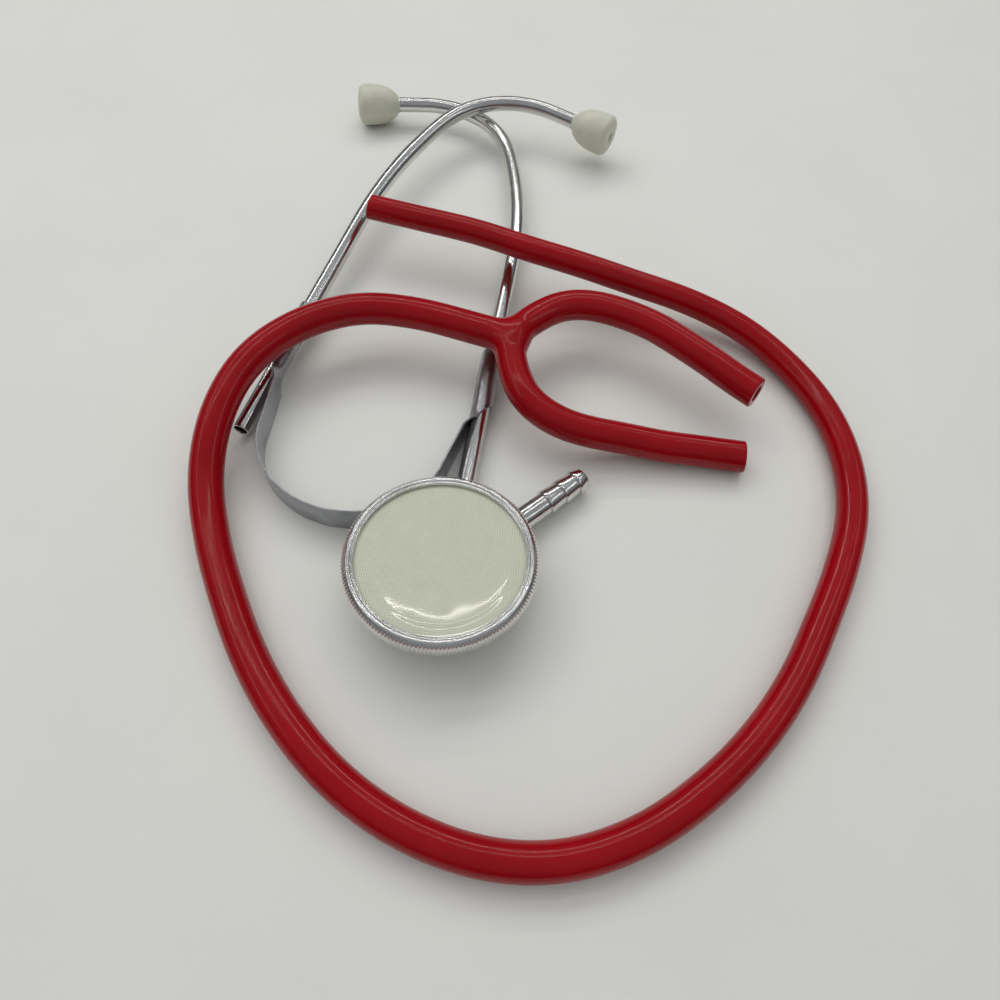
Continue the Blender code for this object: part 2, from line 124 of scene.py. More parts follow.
class Sweep:
    """A path that gives the place and frame at any distance along it."""

    def __init__(self, path):
        self.path = path
        self.along = lengths_along(path)
        self.length = self.along[-1]
        self.tangents, self.sides, self.ups = sweep_frames(path)

    def at(self, distance, table):
        return np.array([np.interp(distance, self.along, table[:, k]) for k in range(3)])

    def ring(self, distance, radius, steps):
        """A circle of points round the path; outside its ends it goes on straight."""
        inside = min(max(distance, 0.0), self.length)
        centre = self.at(inside, self.path)
        tangent = self.at(inside, self.tangents)
        side = self.at(inside, self.sides)
        up = self.at(inside, self.ups)
        centre = centre + tangent * (distance - inside)
        angles = np.linspace(0.0, math.tau, steps, endpoint=False)
        radii = radius(angles) if callable(radius) else radius
        return centre + np.outer(np.cos(angles) * radii, side) + np.outer(np.sin(angles) * radii, up)


# ---------------------------------------------------------------- meshes
def new_piece(name, vertices, faces, material, body=None, smooth_angle=40.0):
    mesh = bpy.data.meshes.new(name)
    mesh.from_pydata([tuple(v * MM) for v in np.asarray(vertices, float)], [], faces)
    shell = bmesh.new()
    shell.from_mesh(mesh)
    bmesh.ops.remove_doubles(shell, verts=shell.verts, dist=1e-7)
    bmesh.ops.recalc_face_normals(shell, faces=shell.faces)
    shell.to_mesh(mesh)
    shell.free()
    mesh.shade_smooth()
    mesh.set_sharp_from_angle(angle=math.radians(smooth_angle))
    piece = bpy.data.objects.new(name, mesh)
    bpy.context.scene.collection.objects.link(piece)
    piece.data.materials.append(material)
    if body:
        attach(piece, body)
    return piece


def loft(rings, closed=False, capped=True):
    """Vertices and faces through rings of the same number of points. A closed loft joins its last ring to its
    first; an open one is closed by flat caps."""
    steps = len(rings[0])
    vertices = np.concatenate(rings)
    faces = []
    spans = len(rings) if closed else len(rings) - 1
    for i in range(spans):
        a, b = i * steps, (i + 1) % len(rings) * steps
        for j in range(steps):
            k = (j + 1) % steps
            faces.append((a + j, a + k, b + k, b + j))
    if capped and not closed:
        faces.append(tuple(range(steps - 1, -1, -1)))
        faces.append(tuple(range((len(rings) - 1) * steps, len(rings) * steps)))
    return vertices, faces


def turned_rings(profile, steps, place=None):
    """Rings about Z for a profile of (radius, z), where radius may be a function of the angle, moved by the 4x4
    matrix place."""
    angles = np.linspace(0.0, math.tau, steps, endpoint=False)
    rings = []
    for radius, z in profile:
        radii = radius(angles) if callable(radius) else np.full(steps, float(radius))
        heights = z(angles) if callable(z) else np.full(steps, float(z))
        ring = np.stack([radii * np.cos(angles), radii * np.sin(angles), heights], axis=1)
        rings.append(moved(ring, place))
    return rings


def moved(points, place):
    if place is None:
        return points
    matrix = np.array(place)
    return points @ matrix[:3, :3].T + matrix[:3, 3]


def arc(centre, radius, start, end, count):
    """Points of an arc in a profile's plane, angles in degrees from the +radius direction."""
    angles = np.radians(np.linspace(start, end, count))
    return [(centre[0] + radius * math.cos(a), centre[1] + radius * math.sin(a)) for a in angles]


# ---------------------------------------------------------------- materials
class Paint:
    """A Principled material whose numbers are varied by procedural textures in the piece's own space."""

    def __init__(self, name, colour, metallic=0.0, roughness=0.4, **sockets):
        self.material = bpy.data.materials.new(name)
        self.material.use_nodes = True
        self.tree = self.material.node_tree
        self.shader = self.tree.nodes["Principled BSDF"]
        self.shader.inputs["Base Color"].default_value = (*colour, 1.0)
        self.shader.inputs["Metallic"].default_value = metallic
        self.shader.inputs["Roughness"].default_value = roughness
        for socket, value in sockets.items():
            self.shader.inputs[socket.replace("_", " ")].default_value = value
        self.space = self.node("ShaderNodeTexCoord").outputs["Object"]
        self.normal = None

    def node(self, kind, **values):
        node = self.tree.nodes.new(kind)
        for key, value in values.items():
            setattr(node, key, value)
        return node

    def link(self, output, socket):
        self.tree.links.new(output, socket)

    def stretched(self, scale, rotation=(0.0, 0.0, 0.0), place=(0.0, 0.0, 0.0)):
        """The piece's space, moved to a place (mm), turned (degrees) and scaled."""
        mapping = self.node("ShaderNodeMapping", vector_type="TEXTURE")
        mapping.inputs["Location"].default_value = tuple(c * MM for c in place)
        mapping.inputs["Rotation"].default_value = tuple(math.radians(a) for a in rotation)
        mapping.inputs["Scale"].default_value = tuple(1.0 / s for s in scale)
        self.link(self.space, mapping.inputs["Vector"])
        return mapping.outputs["Vector"]

    def noise(self, size, detail=3.0, rough=0.5, vector=None):
        """Noise with features about size mm across, from 0 to 1."""
        noise = self.node("ShaderNodeTexNoise")
        noise.inputs["Scale"].default_value = 1000.0 / size
        noise.inputs["Detail"].default_value = detail
        noise.inputs["Roughness"].default_value = rough
        self.link(vector or self.space, noise.inputs["Vector"])
        return noise.outputs["Fac"]

    def ranged(self, value, low, high, start=0.3, end=0.7):
        """value between start and end, as a number from low to high."""
        ramp = self.node("ShaderNodeMapRange")
        for socket, number in (("From Min", start), ("From Max", end), ("To Min", low), ("To Max", high)):
            ramp.inputs[socket].default_value = number
        self.link(value, ramp.inputs["Value"])
        return ramp.outputs["Result"]

    def math(self, operation, a, b):
        node = self.node("ShaderNodeMath", operation=operation)
        for socket, value in zip(node.inputs, (a, b)):
            if isinstance(value, (int, float)):
                socket.default_value = value
            else:
                self.link(value, socket)
        return node.outputs["Value"]

    def mix(self, factor, a, b):
        node = self.node("ShaderNodeMix", data_type="RGBA")
        self.link(factor, node.inputs["Factor"])
        for socket, value in ((node.inputs[6], a), (node.inputs[7], b)):
            if isinstance(value, tuple):
                socket.default_value = (*value, 1.0)
            else:
                self.link(value, socket)
        return node.outputs[2]

    def colour(self, output):
        self.link(output, self.shader.inputs["Base Color"])

    def roughness(self, output):
        self.link(output, self.shader.inputs["Roughness"])

    def bump(self, height, depth):
        """Raises the surface by depth mm where height is 1, on top of what was raised before."""
        node = self.node("ShaderNodeBump")
        node.inputs["Strength"].default_value = 1.0
        node.inputs["Distance"].default_value = depth * MM
        self.link(height, node.inputs["Height"])
        if self.normal:
            self.link(self.normal, node.inputs["Normal"])
        self.normal = node.outputs["Normal"]
        self.link(self.normal, self.shader.inputs["Normal"])


def make_chrome(name, colour, smooth, dull, grain, scratch=0.0012):
    """Polished plate: hazy patches, fine scratches and a slight orange peel."""
    paint = Paint(name, colour, metallic=1.0, roughness=smooth)
    haze = paint.ranged(paint.noise(9.0, detail=4.0), 0.0, 1.0, 0.35, 0.75)
    scratches = paint.noise(0.5, detail=6.0, rough=0.75, vector=paint.stretched((1.0, 7.0, 1.0), (0, 0, 24)))
    fine = paint.ranged(scratches, 0.0, 1.0, 0.42, 0.72)
    spread = paint.math("ADD", paint.math("MULTIPLY", haze, 0.55), paint.math("MULTIPLY", fine, 0.45))
    paint.roughness(paint.ranged(spread, smooth, dull, 0.0, 1.0))
    dim = tuple(c * 0.86 for c in colour)
    paint.colour(paint.mix(haze, colour, dim))
    paint.bump(paint.noise(2.4, detail=2.0), grain)
    paint.bump(scratches, scratch)
    return paint.material


def make_steel():
    """Rolled strip steel with fine lines along its length and darker, oily patches."""
    paint = Paint("spring_steel_look", (0.40, 0.41, 0.43), metallic=1.0, roughness=0.34)
    lines = paint.noise(0.35, detail=5.0, rough=0.7, vector=paint.stretched((0.25, 0.25, 3.2)))
    patches = paint.noise(7.0, detail=3.0)
    paint.colour(paint.mix(paint.ranged(patches, 0.0, 1.0), (0.53, 0.54, 0.56), (0.33, 0.34, 0.36)))
    paint.roughness(paint.ranged(lines, 0.24, 0.44))
    paint.bump(lines, 0.004)
    return paint.material


def make_vinyl():
    """Soft, glossy, slightly cloudy PVC: long waves, rubbed patches and a fine grain."""
    paint = Paint("red_vinyl_look", (0.33, 0.001, 0.006), roughness=0.24, Subsurface_Weight=0.06,
                  Subsurface_Scale=0.0012, Specular_IOR_Level=0.3)
    paint.shader.inputs["Subsurface Radius"].default_value = (1.0, 0.10, 0.08)
    clouds = paint.ranged(paint.noise(16.0, detail=4.0), 0.0, 1.0)
    paint.colour(paint.mix(clouds, (0.325, 0.0006, 0.0055), (0.27, 0.0005, 0.004)))
    rubbed = paint.noise(6.0, detail=6.0, rough=0.6)
    paint.roughness(paint.ranged(rubbed, 0.12, 0.24, 0.35, 0.75))
    paint.bump(paint.noise(8.0, detail=1.0), 0.012)
    paint.bump(paint.noise(0.55, detail=3.0), 0.0022)
    return paint.material


def make_tip_plastic():
    """Hard off-white plastic with a moulded grain."""
    paint = Paint("ear_tip_plastic_look", (0.60, 0.60, 0.505), roughness=0.42, Subsurface_Weight=0.15,
                  Subsurface_Scale=0.0015)
    tint = paint.ranged(paint.noise(4.0, detail=4.0), 0.0, 1.0)
    paint.colour(paint.mix(tint, (0.63, 0.63, 0.535), (0.56, 0.56, 0.465)))
    grain = paint.noise(0.3, detail=4.0, rough=0.6)
    paint.roughness(paint.ranged(grain, 0.34, 0.52))
    paint.bump(grain, 0.006)
    paint.bump(paint.noise(3.0, detail=1.0), 0.03)
    return paint.material


WEAVE_PITCH = 0.42  # from one thread to the next


def make_weave(place, turn):
    """Glass-fibre cloth in clear resin: threads over and under each other below a glossy skin."""
    paint = Paint("glass_resin_look", (0.56, 0.58, 0.45), roughness=0.5, Coat_Weight=1.0,
                  Coat_Roughness=0.035, Coat_IOR=1.5)
    flat = paint.stretched((1.0, 1.0, 1.0), turn, place)
    parts = paint.node("ShaderNodeSeparateXYZ")
    paint.link(flat, parts.inputs["Vector"])
    turns = math.pi / (WEAVE_PITCH * MM)
    along = paint.math("SINE", paint.math("MULTIPLY", parts.outputs["X"], turns), 0.0)
    across = paint.math("SINE", paint.math("MULTIPLY", parts.outputs["Y"], turns), 0.0)
    checks = paint.math("MULTIPLY", along, across)
    ribs = paint.math("ADD", paint.math("ABSOLUTE", along, 0.0), paint.math("ABSOLUTE", across, 0.0))
    height = paint.math("ADD", paint.math("MULTIPLY", checks, 0.55), paint.math("MULTIPLY", ribs, 0.4))
    uneven = paint.ranged(paint.noise(3.0, detail=5.0), 0.0, 1.0)
    pale = paint.mix(uneven, (0.80, 0.805, 0.655), (0.73, 0.735, 0.595))
    paint.colour(paint.mix(paint.ranged(height, 0.0, 1.0, -0.5, 1.2), (0.33, 0.34, 0.26), pale))
    paint.bump(height, 0.02)
    return paint.material


def make_rubber():
    paint = Paint("gasket_rubber_look", (0.03, 0.03, 0.03), roughness=0.6)
    grain = paint.noise(0.25, detail=4.0)
    tint = paint.ranged(paint.noise(2.0), 0.0, 1.0)
    paint.colour(paint.mix(tint, (0.028, 0.028, 0.028), (0.05, 0.05, 0.05)))
    paint.roughness(paint.ranged(grain, 0.5, 0.75))
    paint.bump(grain, 0.01)
    return paint.material


def make_table_top():
    paint = Paint("table_look", (0.75, 0.75, 0.72), roughness=0.42, Specular_IOR_Level=0.3)
    shade = paint.ranged(paint.noise(60.0, detail=3.0), 0.0, 1.0)
    paint.colour(paint.mix(shade, (0.765, 0.765, 0.735), (0.735, 0.738, 0.71)))
    paint.roughness(paint.ranged(paint.noise(3.0, detail=5.0), 0.36, 0.5))
    paint.bump(paint.noise(0.8, detail=3.0), 0.006)
    return paint.material


CHROME = make_chrome("chrome_look", (0.78, 0.775, 0.76), 0.11, 0.28, 0.010)
RING_METAL = make_chrome("ring_chrome_look", (0.92, 0.92, 0.90), 0.20, 0.27, 0.002, scratch=0.0001)
CASTING = make_chrome("cast_alloy_look", (0.66, 0.66, 0.65), 0.24, 0.42, 0.03)
STEEL = make_steel()
VINYL = make_vinyl()
TIP_PLASTIC = make_tip_plastic()
RUBBER = make_rubber()


# ---------------------------------------------------------------- Y tubing
BORE_SHARE = 0.50  # the bore's share of the tubing's outside diameter
BORE_DEPTH = 30.0
TUBE_OD_CHEST_END = 7.6
TUBE_OD_YOKE_END = 9.2
ARM_OD = 8.8
# Each route's points are evenly spaced: about 17.5 mm apart on the main tube, 7 mm on the arms.
MAIN_ROUTE = [
    (-26.0, 35.5, 15.5), (-9.0, 32.0, 15.1), (8.0, 28.5, 14.6), (24.5, 23.0, 14.3),
    (41.5, 18.5, 13.3), (58.0, 14.5, 11.3), (75.0, 11.0, 8.6), (91.0, 4.0, 6.2),
    (103.5, -7.5, 4.7), (112.5, -22.5, 4.3), (116.5, -39.5, 4.3), (115.5, -57.0, 4.3),
    (110.0, -73.5, 4.3), (102.5, -89.0, 4.4), (94.0, -104.5, 4.4), (83.5, -118.5, 4.4),
    (71.0, -130.5, 4.5), (56.5, -140.5, 4.5), (40.0, -146.5, 4.5), (23.0, -147.0, 4.6),
    (6.0, -142.5, 4.6), (-9.5, -134.0, 4.6), (-22.5, -122.5, 4.7), (-33.5, -109.0, 4.7),
    (-42.5, -94.0, 4.8), (-50.0, -78.5, 5.6), (-55.0, -62.0, 8.1), (-55.0, -45.0, 12.1),
    (-50.0, -28.5, 14.3), (-39.0, -15.0, 14.6), (-23.5, -7.0, 14.4), (-6.5, -7.0, 14.3),
    (10.5, -11.0, 14.2),
]
FORK = (21.5, -14.0, 14.2)
ARM_FAR_ROUTE = [
    (31.0, -3.0, 14.2), (37.5, 0.5, 14.2), (44.5, 1.0, 14.2), (51.0, -0.5, 14.2),
    (57.5, -3.0, 14.2), (63.5, -6.0, 14.1), (69.0, -10.0, 13.9), (74.5, -14.0, 13.7),
    (79.5, -18.0, 13.5), (85.0, -22.5, 13.1), (90.5, -26.5, 12.8),
]
ARM_NEAR_ROUTE = [
    (23.7, -28.0, 13.4), (27.5, -34.5, 12.4), (33.0, -38.0, 11.0), (39.5, -40.0, 9.5),
    (46.5, -40.5, 8.2), (53.0, -40.5, 7.0), (60.0, -41.0, 6.1), (67.0, -41.5, 5.4),
    (74.0, -41.5, 4.9), (81.0, -42.0, 4.7), (88.0, -42.5, 4.7),
]
HOSE_SPACING = 1.2  # between the points of a smoothed route
HOSE_RELAX = 14  # rounds of smoothing
TUBE_STEPS = 56
CUT_LEAN = 0.12  # how far a cut end leans back, for each mm of height
CUT_LEAN_REACH = 6.0  # the lean fades out over this length
YOKE_FILLET = 3.4
YOKE_VOXEL = 0.45
YOKE_BAR_SPACING = 1.5
YOKE_BAR_STEPS = 32
YOKE_FITTING_ROUNDS = 7
YOKE_SLOPE_STEP = 0.02  # the small move that a slope is measured over


def trimmed(path, start, end):
    """The part of a path between two distances."""
    along = lengths_along(path)
    places = np.linspace(start, end, max(2, round((end - start) / HOSE_SPACING)) + 1)
    return np.stack([np.interp(places, along, path[:, k]) for k in range(3)], axis=1)


def distance_of(path, point):
    """How far along a path its nearest point to a given one lies."""
    gaps = np.linalg.norm(path - np.array(point), axis=1)
    return lengths_along(path)[int(gaps.argmin())]


def hose_rings(path, start_od, end_od, open_at_start):
    """Rings of a hose with a blind bore in its one open end, from the bore's bottom to the closed end."""
    if not open_at_start:
        path = path[::-1]
        start_od, end_od = end_od, start_od
    sweep = Sweep(path)
    bore = start_od * BORE_SHARE / 2

    def outside(distance):
        return (start_od + (end_od - start_od) * distance / sweep.length) / 2

    stations = [(BORE_DEPTH, 0.3), (BORE_DEPTH, bore), (BORE_DEPTH / 2, bore), (1.0, bore),
                (0.35, bore + 0.02), (0.08, bore + 0.12), (0.0, bore + 0.3)]
    stations += [(0.0, outside(0.0) - 0.45), (0.06, outside(0.0) - 0.2), (0.22, outside(0.0) - 0.05),
                 (0.5, outside(0.0))]
    distance = 1.5
    while distance < sweep.length - 0.6:
        stations.append((distance, outside(distance)))
        distance += HOSE_SPACING
    stations.append((sweep.length, outside(sweep.length)))
    rings = [sweep.ring(d, r, TUBE_STEPS) for d, r in stations]
    for (distance, _), ring in zip(stations, rings):
        lean = CUT_LEAN * max(0.0, 1.0 - distance / CUT_LEAN_REACH)
        ring += np.outer((ring[:, 2] - sweep.path[0, 2]) * lean, sweep.tangents[0])
    return rings, sweep


def make_hose(name, path, start_od, end_od, open_at_start, node):
    rings, sweep = hose_rings(path, start_od, end_od, open_at_start)
    hose = new_piece(name, *loft(rings), VINYL, "tubing", smooth_angle=60.0)
    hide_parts(node)
    return hose, sweep


def distance_to_path(points, path):
    """Each point's distance to the nearest stretch of a path."""
    best = np.full(len(points), 1e9)
    for a, b in zip(path, path[1:]):
        step = b - a
        share = np.clip(((points - a) @ step) / (step @ step), 0.0, 1.0)
        best = np.minimum(best, np.linalg.norm(points - a - share[:, None] * step, axis=1))
    return best


def yoke_depth(points, branches):
    """Height over the fork's skin, where the branches run into each other with a fillet."""
    total = None
    for path, radius in branches:
        depth = distance_to_path(points, path) - radius
        if total is None:
            total = depth
            continue
        near = np.clip(0.5 + 0.5 * (total - depth) / YOKE_FILLET, 0.0, 1.0)
        total = total * (1 - near) + depth * near - YOKE_FILLET * near * (1 - near)
    return total


def make_yoke(branches, cuts):
    """The moulded fork: overlapping bars, remeshed as one skin, moved onto the filleted shape, then cut
    square where each run of hose begins."""
    mesh = bpy.data.meshes.new("fork")
    vertices, faces = [], []
    for path, radius in branches:
        sweep = Sweep(path)
        places = np.arange(0.0, sweep.length, YOKE_BAR_SPACING)
        ring_vertices, ring_faces = loft([sweep.ring(d, radius, YOKE_BAR_STEPS) for d in places])
        offset = sum(len(v) for v in vertices)
        vertices.append(ring_vertices)
        faces += [tuple(i + offset for i in face) for face in ring_faces]
    mesh.from_pydata([tuple(v * MM) for v in np.concatenate(vertices)], [], faces)
    rough = bpy.data.objects.new("fork", mesh)
    bpy.context.scene.collection.objects.link(rough)
    remesh = rough.modifiers.new("skin", "REMESH")
    remesh.mode = "VOXEL"
    remesh.voxel_size = YOKE_VOXEL * MM
    bpy.context.view_layer.update()
    skin = bpy.data.meshes.new_from_object(rough.evaluated_get(bpy.context.evaluated_depsgraph_get()))
    bpy.data.objects.remove(rough)

    points = np.array([v.co for v in skin.vertices]) / MM
    for _ in range(YOKE_FITTING_ROUNDS):
        height = yoke_depth(points, branches)
        moves = np.eye(3) * YOKE_SLOPE_STEP
        slope = np.stack([
            (yoke_depth(points + move, branches) - height) / YOKE_SLOPE_STEP for move in moves
        ], axis=1)
        size = np.maximum((slope**2).sum(axis=1), 0.05)
        points -= slope * (height / size)[:, None]
    skin.vertices.foreach_set("co", (points * MM).ravel())

    shell = bmesh.new()
    shell.from_mesh(skin)
    for point, outward in cuts:
        geometry = list(shell.verts) + list(shell.edges) + list(shell.faces)
        cut = bmesh.ops.bisect_plane(shell, geom=geometry, dist=1e-7, plane_co=tuple(point * MM),
                                     plane_no=tuple(outward), clear_outer=True)
        edges = [e for e in cut["geom_cut"] if isinstance(e, bmesh.types.BMEdge)]
        bmesh.ops.edgeloop_fill(shell, edges=edges)
    bmesh.ops.recalc_face_normals(shell, faces=shell.faces)
    shell.to_mesh(skin)
    shell.free()
    skin.shade_smooth()
    skin.set_sharp_from_angle(angle=math.radians(60))
    yoke = bpy.data.objects.new("moulded_fork", skin)
    bpy.context.scene.collection.objects.link(yoke)
    skin.materials.clear()
    skin.materials.append(VINYL)
    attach(yoke, "tubing")
    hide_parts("yoke")
    return yoke


def make_tubing():
    main_full = smooth_route([*MAIN_ROUTE, FORK], HOSE_SPACING, relax=HOSE_RELAX)
    arms_route = [*ARM_FAR_ROUTE[::-1], FORK, *ARM_NEAR_ROUTE]
    arms_full = smooth_route(arms_route, HOSE_SPACING, relax=HOSE_RELAX)
    main_cut = distance_of(main_full, MAIN_ROUTE[-1])
    far_cut = distance_of(arms_full, ARM_FAR_ROUTE[0])
    near_cut = distance_of(arms_full, ARM_NEAR_ROUTE[0])
    arms_length = lengths_along(arms_full)[-1]
    main_path = trimmed(main_full, 0.0, main_cut)
    far_path = trimmed(arms_full, 0.0, far_cut)
    near_path = trimmed(arms_full, near_cut, arms_length)

    main, main_sweep = make_hose("hose_main", main_path, TUBE_OD_CHEST_END, TUBE_OD_YOKE_END, True,
                                 "tubing_main")
    far, far_sweep = make_hose("hose_far_arm", far_path, ARM_OD, ARM_OD, True, "tubing_arm_far")
    near, near_sweep = make_hose("hose_near_arm", near_path, ARM_OD, ARM_OD, False, "tubing_arm_near")

    reach = 6.0  # the rough bars run this far past each cut
    branches = [
        (trimmed(main_full, main_cut - reach, lengths_along(main_full)[-1]), TUBE_OD_YOKE_END / 2),
        (trimmed(arms_full, far_cut - reach, near_cut + reach), ARM_OD / 2),
    ]
    cuts = []
    for path, outward in ((main_path[-2:], -1), (far_path[-2:], -1), (near_path[:2], 1)):
        tangent = (path[1] - path[0]) / np.linalg.norm(path[1] - path[0])
        cuts.append((path[1] if outward < 0 else path[0], tangent * outward))
    yoke = make_yoke(branches, cuts)


make_tubing()


# ---------------------------------------------------------------- headset
EAR_TUBE_OD = 4.9
EAR_TUBE_BORE = 3.7
EAR_TUBE_STRAIGHT = 84.7
EAR_TUBE_SWEEP = 54.0
EAR_TUBE_SWEEP_ANGLE = 19.8
EAR_TUBE_BEND = 43.2
EAR_TUBE_BEND_ANGLE = 81.4
EAR_TUBE_END = 17.7
EAR_TUBE_TOE_IN = 4.6
HEADSET_AT = (-20.3, -54.2)
HEADSET_TURN = -10.0
HEADSET_HALF_WIDTH = 32.3
TUBE_FOOT_HEIGHT = 3.4
TUBE_POINT_EVERY = 0.9
TUBE_RELAX = 12  # rounds of smoothing
TUBE_CROSSING_GAP = 0.7  # between the tubes where the left one passes over the right one
TUBE_CROSSING_REACH = 7.2  # the crossing's levelled distance past the end of the sweep
RIGHT_TUBE_RISE = 1.3  # degrees
LEFT_TUBE_RISE = RIGHT_TUBE_RISE + math.degrees(
    math.asin((EAR_TUBE_OD + TUBE_CROSSING_GAP) / (EAR_TUBE_STRAIGHT + EAR_TUBE_SWEEP + TUBE_CROSSING_REACH))
)


def headset_point(across, along, height):
    """A point in the headset's own plan (across and along its middle line) as a world point."""
    turn = math.radians(HEADSET_TURN)
    x = HEADSET_AT[0] + across * math.cos(turn) - along * math.sin(turn)
    y = HEADSET_AT[1] + across * math.sin(turn) + along * math.cos(turn)
    return np.array([x, y, height])


def ear_tube_path(side, foot_along, rise, fall):
    """The tube's axis from its open foot: straight, a long sweep, a tight bend, straight."""
    point = np.array([side * HEADSET_HALF_WIDTH, foot_along, TUBE_FOOT_HEIGHT])
    heading = EAR_TUBE_TOE_IN
    points = [point]
    for length, turn, slope_from, slope_to in (
        (EAR_TUBE_STRAIGHT, 0.0, rise, rise),
        (EAR_TUBE_SWEEP, EAR_TUBE_SWEEP_ANGLE, rise, rise),
        (EAR_TUBE_BEND, EAR_TUBE_BEND_ANGLE, rise, fall),
        (EAR_TUBE_END, 0.0, fall, fall),
    ):
        count = max(4, round(length / TUBE_POINT_EVERY))
        for k in range(count):
            slope = math.radians(slope_from + (slope_to - slope_from) * (k + 0.5) / count)
            yaw = math.radians(heading + turn / count / 2)
            step = np.array([-side * math.sin(yaw) * math.cos(slope), math.cos(yaw) * math.cos(slope),
                             math.sin(slope)])
            point = point + step * length / count
            heading += turn / count
            points.append(point)
    path = np.array([headset_point(*p) for p in points])
    for _ in range(TUBE_RELAX):
        path[1:-1] = (path[:-2] + 2 * path[1:-1] + path[2:]) / 4
    return path


LEFT_TUBE_PATH = ear_tube_path(-1, 4.2, LEFT_TUBE_RISE, -3.1)
RIGHT_TUBE_PATH = ear_tube_path(1, 2.5, RIGHT_TUBE_RISE, 0.2)


def make_ear_tube(name, path, body, node):
    """A thin drawn tube with both ends open; the foot's lip is rounded."""
    sweep = Sweep(path)
    outside, bore = EAR_TUBE_OD / 2, EAR_TUBE_BORE / 2
    wall = outside - bore
    lip = [(wall / 2 * (1 - math.sin(math.radians(a))), bore + wall / 2 * (1 - math.cos(math.radians(a))))
           for a in range(0, 181, 30)]
    stations = list(lip)
    distance = 1.2
    while distance < sweep.length - 1.0:
        stations.append((distance, outside))
        distance += 1.0
    stations += [(sweep.length, outside - 0.1), (sweep.length, bore)]
    while distance > 2.0:
        distance -= 6.0
        stations.append((max(distance, 0.8), bore))
    rings = [sweep.ring(d, r, 48) for d, r in stations]
    tube = new_piece(name, *loft(rings, closed=True), CHROME, body)
    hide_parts(node)


TIP_LENGTH = 15.0
TIP_RADIUS = 6.8
TIP_TOP = 6.0  # the outer face stands this far past the tube's end
TIP_HOLE_RADIUS = 1.5
TIP_EDGE_ROUND = 2.3
TIP_DOME_START = 3.2  # below the outer face
TIP_DOME_REACH = 12.0


def make_ear_tip(name, path, body, node):
    """A bulb with a softly rounded outer face and a dome that runs down to the tube."""
    profile = [(TIP_HOLE_RADIUS, 0.3), (TIP_HOLE_RADIUS, TIP_TOP - 1.0)]
    profile += arc((TIP_HOLE_RADIUS + 0.8, TIP_TOP - 0.9), 0.8, 180, 90, 6)
    profile += [(3.2, TIP_TOP - 0.04), (4.2, TIP_TOP - 0.06)]
    profile += arc((TIP_RADIUS - TIP_EDGE_ROUND, TIP_TOP - 2.5), TIP_EDGE_ROUND, 84, 6, 12)
    for k in range(26):
        depth = TIP_DOME_START + (TIP_LENGTH - 0.5 - TIP_DOME_START) * k / 25
        share = (depth - TIP_DOME_START) / TIP_DOME_REACH
        profile.append((TIP_RADIUS * (1 - share**2.5) ** 0.5, TIP_TOP - depth))
    neck = profile[-1][0]
    profile += [(neck - 0.25, TIP_TOP - TIP_LENGTH + 0.15), (neck - 0.5, TIP_TOP - TIP_LENGTH)]
    profile += [(EAR_TUBE_OD / 2 + 0.08, TIP_TOP - TIP_LENGTH), (EAR_TUBE_OD / 2 + 0.04, 0.3)]
    direction = Vector(path[-1] - path[-2])
    place = Matrix.Translation(Vector(path[-1])) @ direction.to_track_quat("Z", "Y").to_matrix().to_4x4()
    rings = turned_rings(profile, 64, place)
    tip = new_piece(name, *loft(rings, closed=True), TIP_PLASTIC, body)
    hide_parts(node)


# ---------------------------------------------------------------- spring strip
STRIP_WIDTH = 9.0
STRIP_THICKNESS = 0.5
BOW_HALF_WIDTH = 26.0
BOW_DEPTH = 24.3
BOW_CENTRE = 8.0
CLIP_START = 23.5
CLIP_LENGTH = 22.0
CLIP_RADIUS = EAR_TUBE_OD / 2 + 0.06 + STRIP_THICKNESS / 2
CLIP_HALF_WRAP = 8.9  # the rolled sleeve's half width, measured along its round
FLARE_LENGTH = 8.0
STRIP_COLUMNS = 36


def eased(value):
    """0 below 0, 1 above 1, and a smooth step between."""
    value = min(max(value, 0.0), 1.0)
    return value * value * (3 - 2 * value)


def strip_route(side, tube):
    """Points of the strip's middle line, from the bottom of the bow to the top of the sleeve."""
    route = []
    for k in range(7):
        angle = math.radians(15 * k) * side
        route.append(headset_point(BOW_HALF_WIDTH * math.sin(angle), BOW_CENTRE - BOW_DEPTH * math.cos(angle),
                                   STRIP_WIDTH / 2))
    for distance in (CLIP_START - 3.0, CLIP_START + CLIP_LENGTH / 2, CLIP_START + CLIP_LENGTH):
        point, inward = clip_frame(side, tube, distance)
        route.append(point + inward * CLIP_RADIUS)
    return route


def clip_frame(side, tube, distance):
    """The tube's centre there, and the direction across to the headset's middle line."""
    point = tube.at(distance, tube.path)
    tangent = tube.at(distance, tube.tangents)
    inward = -side * np.cross(tangent, (0.0, 0.0, 1.0))
    return point, inward / np.linalg.norm(inward)


